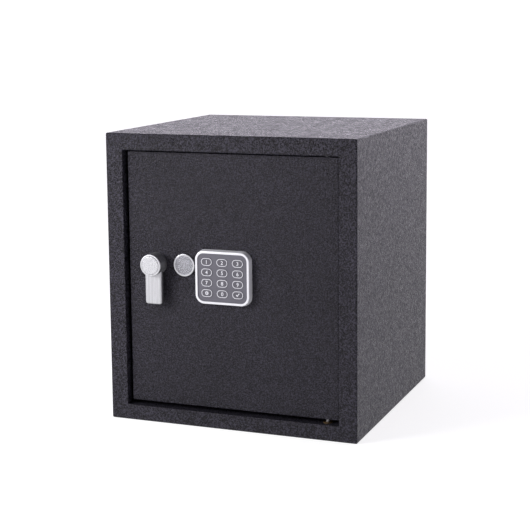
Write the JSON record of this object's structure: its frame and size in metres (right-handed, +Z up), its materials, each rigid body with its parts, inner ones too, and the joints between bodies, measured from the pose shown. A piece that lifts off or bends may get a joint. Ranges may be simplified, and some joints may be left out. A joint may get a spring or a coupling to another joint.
{
  "type": "in-room safe",
  "caption": "Box-shaped sheet steel safe with an inset hinged door, a lever knob, a capped emergency key lock and an electronic keypad on the door.",
  "frame": {"origin": "centre of the four base fixing holes, on the underside of the floor", "axes": "+Z up, +Y from the door towards the back panel, +X to the right seen from the front (the hinge side)"},
  "size_m": [0.35, 0.356, 0.39],
  "materials": {
    "powder_coat": "fine textured powder coat, satin black",
    "zinc_plate": "bright zinc plate",
    "satin_chrome": "satin chrome",
    "bronze": "machined bronze",
    "brass": "machined brass",
    "keypad_grey": "fine matt grey",
    "key_grey": "matt silicone with pale outline and legend",
    "silicone": "matt",
    "circuit_board": "green solder mask",
    "black_plastic": "moulded, fine grain",
    "nylon": "natural nylon",
    "red_plastic": "gloss red",
    "copper_coil": "enamelled copper winding on a bobbin",
    "felt": "dark needle felt",
    "cell_jacket": "printed jacket with a bare metal cap"
  },
  "bodies": {
    "cabinet": {"cabinet_shell": "powder_coat", "front_frame": "powder_coat", "back_panel": "powder_coat", "floor_mat": "felt", "hinge_plates": "powder_coat", "hinge_bush_lower": "bronze", "hinge_bush_upper": "bronze"},
    "door": {"door_panel": "powder_coat", "hinge_blocks": "powder_coat", "hinge_pin_lower": "zinc_plate", "hinge_pin_upper": "zinc_plate", "spindle_bush": "bronze", "bolt_guide": "zinc_plate", "guide_posts": "zinc_plate", "post_clips": "zinc_plate", "solenoid_frame": "zinc_plate", "solenoid_coil": "copper_coil", "lock_housing": "brass", "lock_nut": "zinc_plate", "keypad_bezel": "satin_chrome", "keypad_plate": "keypad_grey", "keypad_mat": "silicone", "keypad_board": "circuit_board", "keypad_nuts": "zinc_plate", "lock_cover": "powder_coat", "cover_screws": "zinc_plate", "battery_holder": "black_plastic", "battery_1": "cell_jacket", "battery_2": "cell_jacket", "battery_3": "cell_jacket", "battery_4": "cell_jacket", "control_board": "circuit_board", "board_standoffs": "nylon"},
    "knob": {"knob_body": "satin_chrome", "knob_cap": "satin_chrome", "knob_spindle": "zinc_plate", "spindle_clip": "zinc_plate", "drive_cam": "zinc_plate"},
    "bolt_work": {"bolt_carriage": "zinc_plate", "stop_bracket": "zinc_plate", "bolt_lower": "zinc_plate", "bolt_upper": "zinc_plate"},
    "plunger": {"solenoid_plunger": "zinc_plate"},
    "key_lock": {"key_plug": "brass", "key_cam": "zinc_plate"},
    "keyhole_cap": {"keyhole_cover": "satin_chrome"},
    "battery_hatch": {"battery_lid": "black_plastic"},
    "reset": {"reset_button": "red_plastic"},
    "pad_key_1": {"key_1": "key_grey"},
    "pad_key_2": {"key_2": "key_grey"},
    "pad_key_3": {"key_3": "key_grey"},
    "pad_key_4": {"key_4": "key_grey"},
    "pad_key_5": {"key_5": "key_grey"},
    "pad_key_6": {"key_6": "key_grey"},
    "pad_key_7": {"key_7": "key_grey"},
    "pad_key_8": {"key_8": "key_grey"},
    "pad_key_9": {"key_9": "key_grey"},
    "pad_key_program": {"key_program": "key_grey"},
    "pad_key_0": {"key_0": "key_grey"},
    "pad_key_enter": {"key_enter": "key_grey"}
  },
  "joints": [
    {"name": "door_hinge", "type": "hinge", "parent": "cabinet", "child": "door", "pos_m": [0.1315, -0.156, 0], "axis": [0, 0, 1], "range_deg": [0, 120]},
    {"name": "knob_turn", "type": "hinge", "parent": "door", "child": "knob", "pos_m": [-0.1051, -0.164, 0.2175], "axis": [0, 1, 0], "range_deg": [0, 90]},
    {"name": "bolt_slide", "type": "slide", "parent": "door", "child": "bolt_work", "axis": [-1, 0, 0], "range_m": [0, 0.016]},
    {"name": "plunger_drop", "type": "slide", "parent": "door", "child": "plunger", "axis": [0, 0, 1], "range_m": [-0.005, 0]},
    {"name": "key_turn", "type": "hinge", "parent": "door", "child": "key_lock", "pos_m": [-0.065, -0.16, 0.217], "axis": [0, -1, 0], "range_deg": [0, 90]},
    {"name": "keyhole_cap_pull", "type": "slide", "parent": "door", "child": "keyhole_cap", "axis": [0, -1, 0], "range_m": [0, 0.012]},
    {"name": "battery_lid_slide", "type": "slide", "parent": "door", "child": "battery_hatch", "axis": [0, 0, 1], "range_m": [0, 0.055]},
    {"name": "reset_press", "type": "slide", "parent": "door", "child": "reset", "axis": [0, -1, 0], "range_m": [0, 0.0015], "stiffness_N_per_m": 300},
    {"name": "key_1_press", "type": "slide", "parent": "door", "child": "pad_key_1", "axis": [0, 1, 0], "range_m": [0, 0.0007], "stiffness_N_per_m": 500},
    {"name": "key_2_press", "type": "slide", "parent": "door", "child": "pad_key_2", "axis": [0, 1, 0], "range_m": [0, 0.0007], "stiffness_N_per_m": 500},
    {"name": "key_3_press", "type": "slide", "parent": "door", "child": "pad_key_3", "axis": [0, 1, 0], "range_m": [0, 0.0007], "stiffness_N_per_m": 500},
    {"name": "key_4_press", "type": "slide", "parent": "door", "child": "pad_key_4", "axis": [0, 1, 0], "range_m": [0, 0.0007], "stiffness_N_per_m": 500},
    {"name": "key_5_press", "type": "slide", "parent": "door", "child": "pad_key_5", "axis": [0, 1, 0], "range_m": [0, 0.0007], "stiffness_N_per_m": 500},
    {"name": "key_6_press", "type": "slide", "parent": "door", "child": "pad_key_6", "axis": [0, 1, 0], "range_m": [0, 0.0007], "stiffness_N_per_m": 500},
    {"name": "key_7_press", "type": "slide", "parent": "door", "child": "pad_key_7", "axis": [0, 1, 0], "range_m": [0, 0.0007], "stiffness_N_per_m": 500},
    {"name": "key_8_press", "type": "slide", "parent": "door", "child": "pad_key_8", "axis": [0, 1, 0], "range_m": [0, 0.0007], "stiffness_N_per_m": 500},
    {"name": "key_9_press", "type": "slide", "parent": "door", "child": "pad_key_9", "axis": [0, 1, 0], "range_m": [0, 0.0007], "stiffness_N_per_m": 500},
    {"name": "key_program_press", "type": "slide", "parent": "door", "child": "pad_key_program", "axis": [0, 1, 0], "range_m": [0, 0.0007], "stiffness_N_per_m": 500},
    {"name": "key_0_press", "type": "slide", "parent": "door", "child": "pad_key_0", "axis": [0, 1, 0], "range_m": [0, 0.0007], "stiffness_N_per_m": 500},
    {"name": "key_enter_press", "type": "slide", "parent": "door", "child": "pad_key_enter", "axis": [0, 1, 0], "range_m": [0, 0.0007], "stiffness_N_per_m": 500}
  ],
  "couplings": [
    {"joint": "bolt_slide", "follows": "knob_turn", "m_per_rad": 0.01018}
  ]
}
